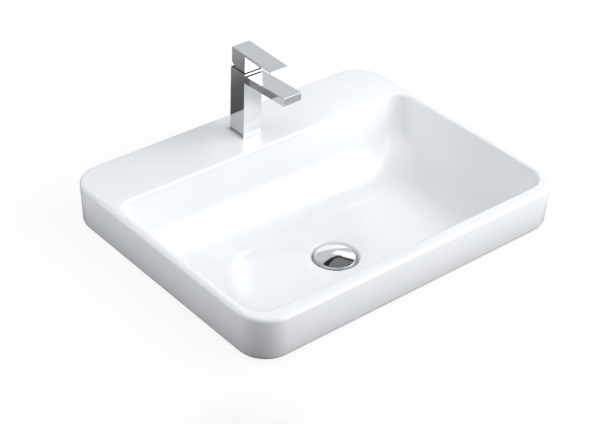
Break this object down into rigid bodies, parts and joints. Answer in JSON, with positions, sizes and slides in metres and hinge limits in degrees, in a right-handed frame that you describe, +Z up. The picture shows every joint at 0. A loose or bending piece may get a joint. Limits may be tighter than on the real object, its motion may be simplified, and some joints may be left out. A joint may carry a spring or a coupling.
{
  "type": "inset washbasin with tap and waste",
  "caption": "Inset washbasin with a flat tap deck, a bowl that hangs below the counter, a square single-lever mixer and a push-open waste.",
  "frame": {"origin": "middle of the flat foot under the skirt's back wall, on the counter plane", "axes": "+X along the wall, to the right of somebody who stands at the basin; +Y to the wall; +Z up"},
  "size_m": [0.6, 0.47, 0.3383],
  "materials": {
    "glaze": "glossy white glaze",
    "chrome": "polished",
    "rubber": "matte",
    "brass": "machined",
    "cartridge_plastic": "moulded black",
    "pale_plastic": "moulded off-white",
    "disc_ceramic": "ground and lapped",
    "steel": "plain",
    "spring_steel": "drawn wire"
  },
  "bodies": {
    "basin_fixed": {"basin": "glaze", "tap_body": "chrome", "tap_base_plate": "chrome", "base_seal": "rubber", "cartridge_housing": "cartridge_plastic", "cartridge_base": "cartridge_plastic", "cartridge_seals": "rubber", "lower_disc": "disc_ceramic", "cartridge_nut": "brass", "aerator_housing": "chrome", "aerator_insert": "cartridge_plastic", "aerator_washer": "rubber", "mounting_stud": "brass", "horseshoe_gasket": "rubber", "horseshoe_washer": "steel", "mounting_nut": "brass", "waste_body": "chrome", "waste_top_seal": "rubber", "waste_under_washer": "rubber", "waste_slip_washer": "pale_plastic", "waste_back_nut": "brass", "click_housing": "cartridge_plastic", "click_spring": "spring_steel"},
    "swivel": {"spindle_carrier": "pale_plastic", "spindle_pin": "steel"},
    "lever": {"lever_handle": "chrome", "handle_screw": "steel", "screw_plug": "chrome", "lever_spindle": "brass"},
    "disc": {"disc_driver": "pale_plastic", "upper_disc": "disc_ceramic"},
    "plug": {"plug_cap": "chrome", "plug_seal": "rubber", "plug_stem": "brass", "click_cam": "pale_plastic"}
  },
  "joints": [
    {"name": "lever_swivel", "type": "hinge", "parent": "basin_fixed", "child": "swivel", "pos_m": [0, -0.0395, 0.1885], "axis": [0, 0, 1], "range_deg": [-45, 45]},
    {"name": "lever_tilt", "type": "hinge", "parent": "swivel", "child": "lever", "pos_m": [0, -0.0395, 0.1885], "axis": [-1, 0, 0], "range_deg": [0, 20]},
    {"name": "disc_slide", "type": "slide", "parent": "swivel", "child": "disc", "axis": [0, -1, 0], "range_m": [0, 0.00446]},
    {"name": "plug_lift", "type": "slide", "parent": "basin_fixed", "child": "plug", "axis": [0, 0, 1], "range_m": [0, 0.008], "deforming": ["click_spring"]}
  ],
  "couplings": [
    {"joint": "disc_slide", "follows": "lever_tilt", "m_per_rad": 0.01274}
  ]
}
